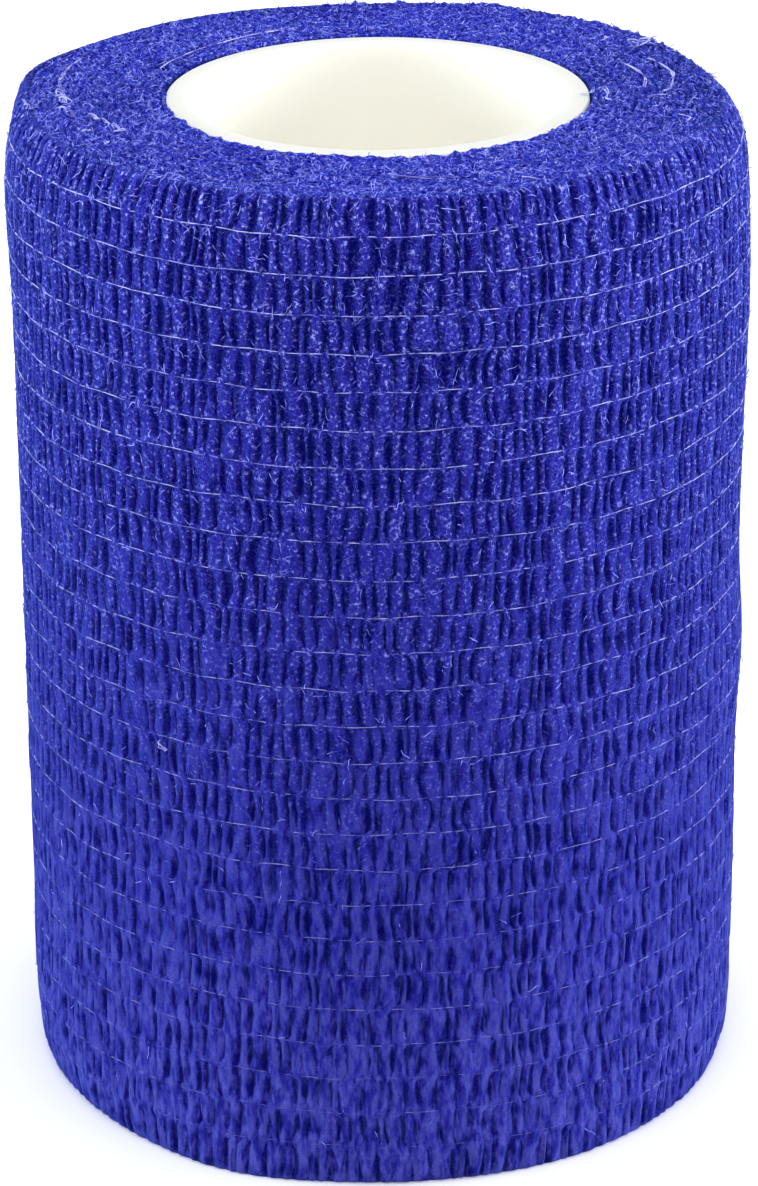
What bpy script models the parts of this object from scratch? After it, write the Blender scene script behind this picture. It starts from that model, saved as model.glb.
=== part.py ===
"""Cohesive bandage roll: a crinkled elastic bandage wound on a white core tube.

Metres, +Z up. The roll stands on its end, with the middle of its underside at the origin.
The bandage is one solid of its wound form: a spiral that ends in a lap of one turn at the
back, the crinkle ribs that run across the cloth, and the soft uneven edges of its two ends.
"""

import math
from typing import NamedTuple

import bpy
import numpy as np

# Driving sizes
BANDAGE_WIDTH = 0.075  # the cloth's width, so the height of the roll
ROLL_RADIUS = 0.0273  # rib crests of the outermost turn, at the cloth's cut end
TURN_THICKNESS = 0.00055  # one turn of the crinkled cloth
CORE_RADIUS = 0.0154
CORE_WALL = 0.0016
CORE_CLEARANCE = 0.0003  # between the core and the innermost turn

# Crinkle ribs
RIB_COUNT = 135
RIB_DEPTH = 0.0006  # from the highest crests to the deepest valleys
RIB_WANDER = 0.28  # sideways, as a share of the distance between two columns of points
CREST_UNEVENNESS = 0.35  # share of the depth that a crest may lack
VALLEY_UNEVENNESS = 0.45  # share of the depth that a valley may lack

# The wall between its two edges
WALL_ROWS = 10
WAIST_DEPTH = 0.00018  # the wall is this much slimmer halfway up
TAIL_ANGLE = math.radians(97)  # where the cloth's cut end lies, at the back
TAIL_PINCH = 0.3  # how far the points beside the cut end close in on it, as a share

# End faces
TOP_RING_RADII = (0.0218, 0.0186)  # between the soft edge and the core
TOP_DIP = 0.00022  # how far the wound edges sink below the cloth's full width
TOP_SWELLS = ((2, 0.9), (3, 2.4), (7, 4.1), (11, 0.3))  # waves around, and where each starts

# Core
CORE_STEPS = 72
CORE_EDGE_ROUND = 0.0003
CORE_EDGE_SEGMENTS = 2

# Finishes: linear red, green and blue, and roughness
CLOTH_BLUE = (0.028, 0.032, 0.40)
CLOTH_ROUGHNESS = 0.92
PLASTIC_WHITE = (0.90, 0.88, 0.80)
PLASTIC_ROUGHNESS = 0.45

SHARP_ANGLE = math.radians(70)
SEED = 11
MERGE = 0.0001


class EdgePoint(NamedTuple):
    """A point of a soft edge: how far in from the wall, in from the end face, and its ribs."""

    inset: float
    depth: float
    rib_share: float


TOP_EDGE = (
    EdgePoint(inset=0.00010, depth=0.0050, rib_share=1.0),
    EdgePoint(inset=0.00035, depth=0.0026, rib_share=1.0),
    EdgePoint(inset=0.00085, depth=0.0011, rib_share=0.9),
    EdgePoint(inset=0.00155, depth=0.0003, rib_share=0.5),
    EdgePoint(inset=0.00260, depth=0.0, rib_share=0.0),
)
BOTTOM_EDGE = (
    EdgePoint(inset=0.0, depth=0.0030, rib_share=1.0),
    EdgePoint(inset=0.00018, depth=0.0011, rib_share=0.8),
    EdgePoint(inset=0.00055, depth=0.0003, rib_share=0.5),
    EdgePoint(inset=0.00135, depth=0.0, rib_share=0.0),
)


class ProfilePoint(NamedTuple):
    """A point of the roll's half section, and how much of each form it takes."""

    radius: float
    height: float
    rib_share: float = 0.0
    lap_share: float = 0.0
    dip_share: float = 0.0


def clear_scene():
    for obj in list(bpy.data.objects):
        bpy.data.objects.remove(obj)


def new_collection(name):
    collection = bpy.data.collections.new(name)
    bpy.context.scene.collection.children.link(collection)
    return collection


def plain_material(name, colour, roughness):
    """A matt material; colour is linear red, green and blue."""
    material = bpy.data.materials.new(name)
    material.use_nodes = True
    shader = material.node_tree.nodes["Principled BSDF"]
    shader.inputs["Base Color"].default_value = (*colour, 1)
    shader.inputs["Roughness"].default_value = roughness
    shader.inputs["Metallic"].default_value = 0
    material.diffuse_color = (*colour, 1)
    return material


def turned(name, outline, steps, collection, material):
    """A closed outline of (radius, height) points, turned round the Z axis."""
    mesh = bpy.data.meshes.new(name)
    points = [(radius, 0, height) for radius, height in outline]
    edges = [(i, (i + 1) % len(points)) for i in range(len(points))]
    mesh.from_pydata(points, edges, [])
    obj = bpy.data.objects.new(name, mesh)
    collection.objects.link(obj)
    screw = obj.modifiers.new("turn", "SCREW")
    screw.steps = steps
    screw.render_steps = steps
    screw.use_merge_vertices = True
    screw.merge_threshold = MERGE
    mesh.materials.append(material)
    return obj


def apply_modifiers(obj):
    """Keeps the object's evaluated shape as its own mesh."""
    graph = bpy.context.evaluated_depsgraph_get()
    solid = bpy.data.meshes.new_from_object(obj.evaluated_get(graph))
    obj.modifiers.clear()
    obj.data = solid


def roll_profile():
    """The roll's half section, down its outer side, in along its foot and up its bore."""
    bore = CORE_RADIUS + CORE_CLEARANCE
    profile = []
    for edge in reversed(TOP_EDGE):
        profile.append(
            ProfilePoint(
                radius=ROLL_RADIUS - edge.inset,
                height=BANDAGE_WIDTH - edge.depth,
                rib_share=edge.rib_share,
                lap_share=1.0,
                dip_share=float(edge.depth == 0),
            )
        )
    wall_top = BANDAGE_WIDTH - TOP_EDGE[0].depth
    wall_foot = BOTTOM_EDGE[0].depth
    for row in range(1, WALL_ROWS):
        share = row / WALL_ROWS
        height = wall_top + (wall_foot - wall_top) * share
        waist = WAIST_DEPTH * math.sin(math.pi * share)
        profile.append(ProfilePoint(ROLL_RADIUS - waist, height, rib_share=1.0, lap_share=1.0))
    for edge in BOTTOM_EDGE:
        radius = ROLL_RADIUS - edge.inset
        profile.append(ProfilePoint(radius, edge.depth, edge.rib_share, lap_share=1.0))
    profile.append(ProfilePoint(bore, 0.0))
    profile.append(ProfilePoint(bore, BANDAGE_WIDTH, dip_share=1.0))
    for radius in reversed(TOP_RING_RADII):
        profile.append(ProfilePoint(radius, BANDAGE_WIDTH, dip_share=1.0))
    return profile


def column_angles(columns, rows, rng):
    """The angle of each point: evenly spaced, then wandering, and closed in on the cut end.

    The cut end lies halfway between the first column of points and the last.
    """
    step = 2 * math.pi / columns
    angle = np.tile(TAIL_ANGLE + (np.arange(columns) + 0.5) * step, (rows, 1))
    angle += RIB_WANDER * step * rng.uniform(-1, 1, (rows, columns))
    angle[:, 0] = TAIL_ANGLE + (0.5 - TAIL_PINCH) * step
    angle[:, -1] = TAIL_ANGLE + 2 * math.pi - (0.5 - TAIL_PINCH) * step
    return angle


def rib_drop(columns, rows, rng):
    """How far each point lies below the highest crests: little on a crest, deep in a valley."""
    drop = CREST_UNEVENNESS * rng.uniform(0, 1, (rows, columns))
    valleys = slice(1, None, 2)
    drop[:, valleys] = 1 - VALLEY_UNEVENNESS * rng.uniform(0, 1, drop[:, valleys].shape)
    return RIB_DEPTH * drop


def top_dip(angle, radius):
    """How far the wound edges sink at a place of the top face."""
    swell = np.zeros_like(angle)
    for waves, start in TOP_SWELLS:
        swell += np.sin(waves * angle + start + radius / CORE_RADIUS * start)
    return TOP_DIP * (0.5 + 0.5 * swell / len(TOP_SWELLS))


def wind(obj, profile, columns):
    """Moves the turned solid's points to the wound, ribbed form, and says which lie in valleys."""
    rng = np.random.default_rng(SEED)
    rows = len(profile)
    angles = column_angles(columns, rows, rng)
    drops = rib_drop(columns, rows, rng)
    radii = np.array([point.radius for point in profile])
    heights = np.array([point.height for point in profile])
    ribs = np.array([point.rib_share for point in profile])
    laps = np.array([point.lap_share for point in profile])
    dips = np.array([point.dip_share for point in profile])

    mesh = obj.data
    points = np.empty(len(mesh.vertices) * 3, np.float32)
    mesh.vertices.foreach_get("co", points)
    x, y, z = points.reshape(-1, 3).T.astype(float)
    away = np.hypot(np.hypot(x, y)[:, None] - radii, z[:, None] - heights)
    row = away.argmin(axis=1)
    column = np.round(np.arctan2(y, x) / (2 * math.pi) * columns).astype(int) % columns

    wandered = ribs[row] > 0
    even = TAIL_ANGLE + (column + 0.5) * 2 * math.pi / columns
    angle = np.where(wandered, angles[row, column], even)
    turned_share = ((angle - TAIL_ANGLE) / (2 * math.pi)) % 1
    radius = radii[row] - drops[row, column] * ribs[row]
    radius -= TURN_THICKNESS * turned_share * laps[row]
    height = heights[row] - dips[row] * top_dip(angle, radius)
    moved = np.stack([radius * np.cos(angle), radius * np.sin(angle), height], axis=1)
    mesh.vertices.foreach_set("co", moved.astype(np.float32).ravel())
    mesh.update()
    return wandered & (column % 2 == 1)


def shade_ribs(mesh, in_valley):
    """Smooth crests between creased valleys, and sharp edges at the cut end and the foot."""
    mesh.shade_smooth()
    mesh.set_sharp_from_angle(angle=SHARP_ANGLE)
    for edge in mesh.edges:
        start, end = edge.vertices
        if in_valley[start] and in_valley[end]:
            edge.use_edge_sharp = True


def build_bandage(collection):
    cloth = plain_material("crinkled_cloth", CLOTH_BLUE, CLOTH_ROUGHNESS)
    profile = roll_profile()
    columns = 2 * RIB_COUNT
    outline = [(point.radius, point.height) for point in profile]
    roll = turned("bandage_roll", outline, columns, collection, cloth)
    apply_modifiers(roll)
    in_valley = wind(roll, profile, columns)
    shade_ribs(roll.data, in_valley)


def build_core(collection):
    plastic = plain_material("core_plastic", PLASTIC_WHITE, PLASTIC_ROUGHNESS)
    inner = CORE_RADIUS - CORE_WALL
    outline = [(CORE_RADIUS, BANDAGE_WIDTH), (CORE_RADIUS, 0), (inner, 0), (inner, BANDAGE_WIDTH)]
    core = turned("core_tube", outline, CORE_STEPS, collection, plastic)
    bevel = core.modifiers.new("rounded_edges", "BEVEL")
    bevel.width = CORE_EDGE_ROUND
    bevel.segments = CORE_EDGE_SEGMENTS
    bevel.limit_method = "ANGLE"
    bevel.angle_limit = SHARP_ANGLE
    apply_modifiers(core)
    core.data.shade_smooth()
    core.data.set_sharp_from_angle(angle=SHARP_ANGLE)


def main():
    clear_scene()
    collection = new_collection("cohesive_bandage_roll")
    build_bandage(collection)
    build_core(collection)


main()
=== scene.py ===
"""Cohesive bandage roll: crinkled blue nonwoven cloth wound on a moulded white core.

Metres, +Z up, the roll standing on its end with the middle of its underside at the origin and
the side that faces the camera towards -Y. The cloth is wound from its cut end at the back
inwards: the outermost turn has the full crinkle, the turns below show only their edges.
"""

import logging
import math
from collections.abc import Callable
from dataclasses import dataclass
from enum import Enum
from functools import partial

import bpy
import numpy as np
from bpy.types import Material, Mesh, Node, NodeOutputs, NodeSocket, NodeTree, Object
from mathutils import Matrix, Vector


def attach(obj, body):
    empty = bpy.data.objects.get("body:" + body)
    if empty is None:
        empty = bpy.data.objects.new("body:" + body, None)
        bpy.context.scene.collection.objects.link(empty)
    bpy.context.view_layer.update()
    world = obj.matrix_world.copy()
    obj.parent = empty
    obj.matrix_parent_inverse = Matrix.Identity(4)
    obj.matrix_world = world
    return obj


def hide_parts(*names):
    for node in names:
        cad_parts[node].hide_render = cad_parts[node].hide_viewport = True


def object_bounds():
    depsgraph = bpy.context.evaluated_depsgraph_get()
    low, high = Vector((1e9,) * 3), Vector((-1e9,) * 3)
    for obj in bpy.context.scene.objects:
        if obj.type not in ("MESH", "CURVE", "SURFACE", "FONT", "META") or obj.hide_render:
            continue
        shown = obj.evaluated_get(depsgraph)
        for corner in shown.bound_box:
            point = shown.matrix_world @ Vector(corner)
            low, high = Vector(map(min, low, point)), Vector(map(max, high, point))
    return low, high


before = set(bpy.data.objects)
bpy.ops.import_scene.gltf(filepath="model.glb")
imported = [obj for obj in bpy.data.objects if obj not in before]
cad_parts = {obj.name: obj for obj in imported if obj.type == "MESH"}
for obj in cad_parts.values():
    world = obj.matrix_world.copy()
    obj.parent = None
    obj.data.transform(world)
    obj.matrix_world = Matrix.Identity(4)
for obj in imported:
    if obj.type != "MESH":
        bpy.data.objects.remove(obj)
cad_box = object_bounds()

MM = 0.001
BODY = "root"
CLOTH_PLACE = "cloth_mm"  # attribute: a point's place along and across the flat cloth, in millimetres
VALLEY = "valley"  # attribute: 0 on a crest, 1 at the bottom of the deepest valley; the cloth's colour is darkened by it, a painted shade
FUZZ = "fuzz"  # attribute: how thickly loose fibres grow, 0 on a face that does not show

MATH, VECTOR, RANGE = "ShaderNodeMath", "ShaderNodeVectorMath", "ShaderNodeMapRange"
MIX, NOISE = "ShaderNodeMix", "ShaderNodeTexNoise"
JOIN, SPLIT = "ShaderNodeCombineXYZ", "ShaderNodeSeparateXYZ"

Adder = Callable[..., Node]  # add_node for one tree
Feeds = dict[str | int, object]
Sizes = dict[str, float | int]

log = logging.getLogger("bandage_roll")


# ---- Helpers ----


def linear(code: str) -> tuple[float, float, float, float]:
    """Turns an sRGB colour into the linear one that the shaders take.

    Args:
        code: the colour as "#rrggbb".

    Returns:
        Linear red, green, blue and alpha.
    """
    shares = [int(code[start : start + 2], 16) / 255 for start in (1, 3, 5)]
    red, green, blue = (
        share / 12.92 if share <= 0.04045 else ((share + 0.055) / 1.055) ** 2.4 for share in shares
    )
    return red, green, blue, 1.0


def feed(node: Node, feeds: Feeds) -> None:
    """Sets a node's inputs.

    Args:
        node: the node.
        feeds: for an input's name or number, its own value or what feeds it: a socket, or a node,
            which gives its first output in use.
    """
    for key, value in feeds.items():
        if isinstance(value, Node):
            value = next(socket for socket in value.outputs if socket.enabled)
        if isinstance(value, NodeSocket):
            node.id_data.links.new(value, node.inputs[key])
        else:
            node.inputs[key].default_value = value


def add_node(
    tree: NodeTree, kind: str, feeds: Feeds | None = None, **settings: object
) -> Node:
    """Adds a node to a shader or geometry tree.

    Args:
        tree: the tree that takes the node.
        kind: the node's type.
        feeds: what its inputs take.
        **settings: the node's own properties.

    Returns:
        The new node.
    """
    node = tree.nodes.new(kind)
    for name, value in settings.items():
        setattr(node, name, value)
    feed(node, feeds or {})
    return node


def new_material(name: str) -> tuple[Material, Adder]:
    """Starts a material from a bare Principled shader.

    Args:
        name: the material's name.

    Returns:
        The material, and what adds a node to it.
    """
    material = bpy.data.materials.new(name)
    material.use_nodes = True
    return material, partial(add_node, material.node_tree)


def dress(material: Material, feeds: Feeds) -> Material:
    """Sets the inputs of a material's shader, and gives the material back."""
    feed(material.node_tree.nodes["Principled BSDF"], feeds)
    return material


def new_shape_tree(name: str, sizes: Sizes) -> tuple[Adder, NodeOutputs]:
    """Starts a Geometry Nodes tree that takes a shape and named sizes and gives a shape.

    Args:
        name: the tree's name.
        sizes: each size's name and value; a whole number makes an integer input.

    Returns:
        What adds a node to the tree, and the sockets that give the shape and the sizes.
    """
    tree = bpy.data.node_groups.new(name, "GeometryNodeTree")
    tree.interface.new_socket("Shape", in_out="INPUT", socket_type="NodeSocketGeometry")
    for size, value in sizes.items():
        kind = "NodeSocketInt" if isinstance(value, int) else "NodeSocketFloat"
        tree.interface.new_socket(size, in_out="INPUT", socket_type=kind)
    tree.interface.new_socket("Shape", in_out="OUTPUT", socket_type="NodeSocketGeometry")
    add = partial(add_node, tree)
    return add, add("NodeGroupInput").outputs


def push_by_noise(
    add: Adder,
    shape: Node,
    swing: NodeSocket,
    wave: NodeSocket,
    directions: tuple[float, float, float] = (1.0, 1.0, 1.0),
) -> Node:
    """Moves a shape's points by a noise.

    Args:
        add: what adds a node to the tree.
        shape: the node that gives the shape.
        swing: how far the points move, from one extreme to the other.
        wave: the noise's wave length.
        directions: how much of the movement goes along x, y and z.

    Returns:
        The node that gives the moved shape.
    """
    waves = add(MATH, {0: 1.0, 1: wave}, operation="DIVIDE")
    noise = add(NOISE, {"Vector": add("GeometryNodeInputPosition"), "Scale": waves, "Detail": 1.0})
    centred = add(VECTOR, {0: noise.outputs["Color"], 1: (0.5, 0.5, 0.5)}, operation="SUBTRACT")
    aimed = add(VECTOR, {0: centred, 1: directions}, operation="MULTIPLY")
    offset = add(VECTOR, {0: aimed, "Scale": swing}, operation="SCALE")
    return add("GeometryNodeSetPosition", {"Geometry": shape, "Offset": offset})


def lay_tubes(add: Adder, paths: Node, radius: object, sides: object) -> Node:
    """Makes closed round tubes along the curves that a node gives."""
    ring = add("GeometryNodeCurvePrimitiveCircle", {"Resolution": sides, "Radius": radius})
    return add("GeometryNodeCurveToMesh", {"Curve": paths, "Profile Curve": ring, "Fill Caps": True})


def close_shape_tree(add: Adder, shape: Node, finish: Material) -> NodeTree:
    """Ends a tree with a smooth-shaded, real shape in its finish.

    Args:
        add: what adds a node to the tree.
        shape: the node that gives the shape.
        finish: the shape's material.

    Returns:
        The tree.
    """
    smooth = add("GeometryNodeSetShadeSmooth", {"Geometry": shape})
    real = add("GeometryNodeRealizeInstances", {"Geometry": smooth})
    dressed = add("GeometryNodeSetMaterial", {"Geometry": real, "Material": finish})
    return add("NodeGroupOutput", {"Shape": dressed}).id_data


def run_shape_tree(
    name: str, tree: NodeTree, sizes: Sizes, start: Mesh
) -> Object:
    """Runs a Geometry Nodes tree and keeps what it makes as a plain mesh.

    Args:
        name: the new piece's name.
        tree: the tree to run.
        sizes: a value for each of the tree's named inputs.
        start: the mesh that the tree starts from.

    Returns:
        The new piece, at the origin, with no modifier.
    """
    piece = bpy.data.objects.new(name, start)
    bpy.context.scene.collection.objects.link(piece)
    modifier = piece.modifiers.new("shape", "NODES")
    modifier.node_group = tree
    for item in tree.interface.items_tree:
        if item.in_out == "INPUT" and item.name in sizes:
            modifier[item.identifier] = sizes[item.name]
    graph = bpy.context.evaluated_depsgraph_get()
    made = bpy.data.meshes.new_from_object(piece.evaluated_get(graph), depsgraph=graph)
    piece.modifiers.clear()
    piece.data = made
    made.name = name
    return piece


def named_sizes(piece: object, names: str) -> Sizes:
    """Gathers some of a piece's sizes, each under its own name."""
    return {name: getattr(piece, name) for name in names.split()}


def new_piece(
    name: str, points: np.ndarray, faces: list[tuple[int, ...]], material: Material
) -> Object:
    """Makes a smooth-shaded piece from points and faces.

    Args:
        name: the piece's name.
        points: one row of x, y and z for each point.
        faces: each face's point numbers, anticlockwise seen from outside.
        material: its finish.

    Returns:
        The new piece.
    """
    mesh = bpy.data.meshes.new(name)
    mesh.from_pydata(points.tolist(), [], faces)
    mesh.shade_smooth()
    mesh.materials.append(material)
    piece = bpy.data.objects.new(name, mesh)
    bpy.context.scene.collection.objects.link(piece)
    return piece


def lay_strands(
    name: str, paths: list[np.ndarray], diameter: float, sides: int, finish: Material
) -> Object:
    """Makes a piece of closed round strands.

    Args:
        name: the piece's name.
        paths: each strand's middle line, rows of x, y and z.
        diameter: the strands' thickness.
        sides: how many sides they have.
        finish: their material.

    Returns:
        The new piece.
    """
    points, edges = [], []
    for path in paths:
        edges += [(i, i + 1) for i in range(len(points), len(points) + len(path) - 1)]
        points += path.tolist()
    chains = bpy.data.meshes.new(name)
    chains.from_pydata(points, edges, [])
    sizes = {"radius": diameter / 2, "sides": sides}
    add, given = new_shape_tree(f"lay_{name}", sizes)
    middles = add("GeometryNodeMeshToCurve", {"Mesh": given["Shape"]})
    tree = close_shape_tree(add, lay_tubes(add, middles, given["radius"], given["sides"]), finish)
    return run_shape_tree(name, tree, sizes, chains)


def ring_faces(rings: int, loop: int, closed: bool) -> list[tuple[int, ...]]:
    """Joins rings of points, each to the next one.

    Args:
        rings: the number of rings.
        loop: the number of points in a ring.
        closed: whether the last ring joins the first one; else both of them are capped.

    Returns:
        Each face's point numbers.
    """
    faces = []
    for ring in range(rings if closed else rings - 1):
        start, after = ring * loop, (ring + 1) % rings * loop
        for point in range(loop):
            onward = (point + 1) % loop
            faces.append((start + point, after + point, after + onward, start + onward))
    if not closed:
        faces += [tuple(range(loop)), tuple(range(rings * loop - 1, (rings - 1) * loop - 1, -1))]
    return faces


def keep_numbers(mesh: Mesh, name: str, values: np.ndarray) -> None:
    """Stores one number, or three, for each point of a mesh.

    Args:
        mesh: the mesh that takes them.
        name: the attribute's name.
        values: a flat array of numbers, or rows of three.
    """
    kind, field = ("FLOAT", "value") if values.ndim == 1 else ("FLOAT_VECTOR", "vector")
    layer = mesh.attributes.new(name, kind, "POINT")
    layer.data.foreach_set(field, values.astype(np.float32).ravel())


def triangles(piece: Object) -> int:
    """Counts a piece's triangles."""
    return sum(len(face.vertices) - 2 for face in piece.data.polygons)


# ---- Finishes ----


@dataclass(frozen=True)
class Ramp:
    """A number that changes evenly, from low to high, over a span of what it follows."""

    low: float = 0.0
    high: float = 1.0
    start: float = 0.0
    end: float = 1.0

    def feeds(self, value: object, unit: float = 1.0) -> Feeds:
        """Says what a range node takes to give the number.

        Args:
            value: what the number follows.
            unit: what the span is measured in.

        Returns:
            The node's inputs.
        """
        span = {"From Min": self.start * unit, "From Max": self.end * unit}
        return {"Value": value, **span, "To Min": self.low, "To Max": self.high}


@dataclass(frozen=True)
class FibreLines:
    """Thin curly lines on the cloth, the borders of bent cells."""

    spacing_mm: float
    half_width: float  # as a share of a cell
    bend: float = 1.3  # as a share of a cell
    bend_scale: float = 1.7  # bends in a cell

    def draw(self, add: Adder, place: NodeSocket) -> Node:
        """Draws the lines.

        Args:
            add: what adds a node to the material.
            place: the place on the cloth, in millimetres.

        Returns:
            The node that gives 1 on a line.
        """
        scale = 1 / self.spacing_mm
        bends = add(NOISE, {"Vector": place, "Scale": self.bend_scale * scale, "Detail": 1.0})
        reach = (self.bend / scale,) * 3
        bent = add(VECTOR, {0: bends.outputs["Color"], 1: reach, 2: place}, operation="MULTIPLY_ADD")
        cells = add("ShaderNodeTexVoronoi", {"Vector": bent, "Scale": scale}, feature="DISTANCE_TO_EDGE")
        edge = Ramp(1.0, 0.0, end=self.half_width)
        return add(RANGE, edge.feeds(cells), interpolation_type="SMOOTHSTEP")


@dataclass(frozen=True)
class CrinkledNonwoven:
    """Spunbonded polyester fleece, dyed royal blue and coated with natural latex.

    The eye sees a dry, felted face of fine curly fibres that catch the light, ribs with paler
    shoulders, and a deep, saturated blue in the valleys between them. The colour is laid by depth:
    the paler shoulders are a painted highlight and the darker flanks and valleys painted shade.
    The fibres are drawn lighter, partly with a painted highlight, and some take painted glints;
    the folds near the foot take a painted sheen, and the wall is painted lighter towards the foot.
    """

    name: str = "latex_coated_nonwoven"
    # Tones laid by depth: the crest's is the cloth's own blue, the shoulder's a painted highlight, the
    # flank's and the valley's painted shade.
    crest: str = "#201b7f"
    shoulder: str = "#2c2793"
    flank: str = "#160f6b"
    valley: str = "#050266"
    tone_depths: tuple[float, ...] = (0.05, 0.27, 0.5, 0.85)  # of the four tones above
    # The fibres are drawn lighter than the ground: partly their own paler tone, partly a painted highlight.
    fibre: str = "#6468de"
    # Painted highlight: the glint that some fibres take.
    glint: str = "#b2b8ff"
    painted_sheen_tone: str = "#7070d6"  # of the painted sheen on the folds near the foot
    sheen: str = "#84ccff"
    sheen_weight: float = 0.22
    fibres: FibreLines = FibreLines(0.6, 0.075)  # coarser than the real 0.02 mm fibres, to show
    fine_fibres: FibreLines = FibreLines(0.33, 0.11)
    glint_spacing_mm: float = 0.26
    fold_mm: float = 0.48  # width of the small folds within a rib
    fold_stretch: float = 0.3  # they are this much finer across than along
    fold_weight: float = 1.1  # what they add to a place's depth
    mottle_mm: float = 5.0
    mottle_weight: float = 0.25
    shown_fibres: Ramp = Ramp(0.06, 1.0, start=0.28)  # this and the next three go from foot to top
    painted_sheen_fade: Ramp = Ramp(0.26, 0.0, end=0.7)  # how much painted sheen the folds take
    level_depth: Ramp = Ramp(0.51, 0.41)  # the depth taken off by height: painted light, making the wall lighter towards the foot
    dark_valleys: Ramp = Ramp(0.48, 1.1)  # how strong the painted shade in the valleys is
    high_fibres: Ramp = Ramp(1.0, 0.12, 0.15, 0.7)  # share of the fibres that show, by depth
    streaks: Ramp = Ramp(0.0, 2.0, 0.6, 0.38)  # the painted sheen, by the small folds
    bright: Ramp = Ramp(0.3, 1.0, 0.3, 0.55)  # how bright a fibre is, from patch to patch
    sparks: Ramp = Ramp(0.0, 1.0, 0.6, 0.7)  # where a fibre takes the painted glint
    bump_height: float = 0.16 * MM
    bump_strength: float = 0.8
    line_height: float = 0.5  # of a fibre in the bump, as a share of a fold's
    roughness: float = 0.7

    def material(self) -> Material:
        """Builds the cloth's material.

        Returns:
            The material, which reads the cloth's place and valley attributes.
        """
        material, add = new_material(self.name)
        place = add("ShaderNodeAttribute", attribute_name=CLOTH_PLACE).outputs["Vector"]
        valley = add("ShaderNodeAttribute", attribute_name=VALLEY).outputs["Fac"]
        level = add(SPLIT, {0: add("ShaderNodeTexCoord").outputs["Object"]}).outputs["Z"]
        worn, painted_sheen_share, raised, shut = (
            add(RANGE, ramp.feeds(level, cad_box[1].z))
            for ramp in (self.shown_fibres, self.painted_sheen_fade, self.level_depth, self.dark_valleys)
        )

        # How deep each place looks, from the valleys, the small folds and a slow mottling. The ramp
        # paints shade by this depth, darker down the flanks and in the valleys, with a painted highlight
        # on the shoulders; the mottling is the cloth's own uneven tone, and the depth taken off by
        # height paints the wall lighter towards the foot.
        spots = {"Scale": 1 / self.mottle_mm, "Detail": 4.0, "Roughness": 0.7}
        mottle = add(NOISE, {"Vector": place, **spots})
        drawn = add("ShaderNodeMapping", {"Vector": place, "Scale": (1.0, self.fold_stretch, 1.0)})
        creases = {"Scale": 1 / self.fold_mm, "Detail": 2.0, "Roughness": 0.6}
        folds = add(NOISE, {"Vector": drawn, **creases})
        sunk = add(MATH, {0: valley, 1: shut}, operation="MULTIPLY")
        uneven = add(MATH, {0: mottle, 1: self.mottle_weight, 2: sunk}, operation="MULTIPLY_ADD")
        folded = add(MATH, {0: folds, 1: self.fold_weight, 2: uneven}, operation="MULTIPLY_ADD")
        depth = add(MATH, {0: folded, 1: raised}, operation="SUBTRACT")
        ground = add("ShaderNodeValToRGB", {"Fac": depth})
        ramp = ground.color_ramp
        ramp.interpolation = "EASE"
        ramp.elements[0].position, ramp.elements[1].position = self.tone_depths[0], self.tone_depths[-1]
        ramp.elements[0].color, ramp.elements[1].color = linear(self.crest), linear(self.valley)
        for stop, tone in zip(self.tone_depths[1:-1], (self.shoulder, self.flank)):
            ramp.elements.new(stop).color = linear(tone)

        # A painted sheen on the folds near the foot, and fibres that show on the high places, drawn
        # lighter, partly as a painted highlight, with painted glints
        share = add(RANGE, self.high_fibres.feeds(depth))
        streak = add(RANGE, self.streaks.feeds(folds))
        # Painted sheen: near the foot the folds are paled towards a light tone.
        pale = add(MATH, {0: painted_sheen_share, 1: streak}, operation="MULTIPLY")
        painted_foot_sheen = add(MATH, {0: pale, 1: share}, operation="MULTIPLY")
        coarse, fine = (lines.draw(add, place) for lines in (self.fibres, self.fine_fibres))
        lines = add(MATH, {0: coarse, 1: fine}, operation="MAXIMUM")
        risen = add(MATH, {0: share, 1: worn}, operation="MULTIPLY")
        fibres = add(MATH, {0: lines, 1: risen}, operation="MULTIPLY")
        patch = add(NOISE, {"Vector": place, "Scale": 1 / self.glint_spacing_mm, "Detail": 0.0})
        # Painted highlights: fibres drawn lighter from patch to patch, and painted glints where the patches
        # peak.
        shone, spark = (
            add(MATH, {0: add(RANGE, ramp.feeds(patch)), 1: fibres}, operation="MULTIPLY")
            for ramp in (self.bright, self.sparks)
        )
        colour = ground
        for amount, tone in ((painted_foot_sheen, self.painted_sheen_tone), (shone, self.fibre), (spark, self.glint)):
            colour = add(MIX, {0: amount, 6: colour, 7: linear(tone)}, data_type="RGBA")
        relief = add(MATH, {0: lines, 1: self.line_height, 2: folds}, operation="MULTIPLY_ADD")
        grain = {"Strength": self.bump_strength, "Distance": self.bump_height, "Height": relief}
        return dress(
            material,
            {
                "Base Color": colour,
                "Normal": add("ShaderNodeBump", grain),
                "Roughness": self.roughness,
                "Specular IOR Level": 0.02,
                "Sheen Weight": self.sheen_weight,
                "Sheen Roughness": 0.3,
                "Sheen Tint": linear(self.sheen),
            },
        )


CUT_EDGE = CrinkledNonwoven(
    name="nonwoven_cut_edge",  # slit through the coating, so the fibres' own clear blue shows; its tones are also set lighter than the wall's, a painted light for the top face under the overhead lamp
    crest="#211f99",
    shoulder="#2b29aa",
    flank="#0f0b7c",
    valley="#05026c",
    fibre="#7c84fa",
    glint="#c0c6ff",
)


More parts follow.
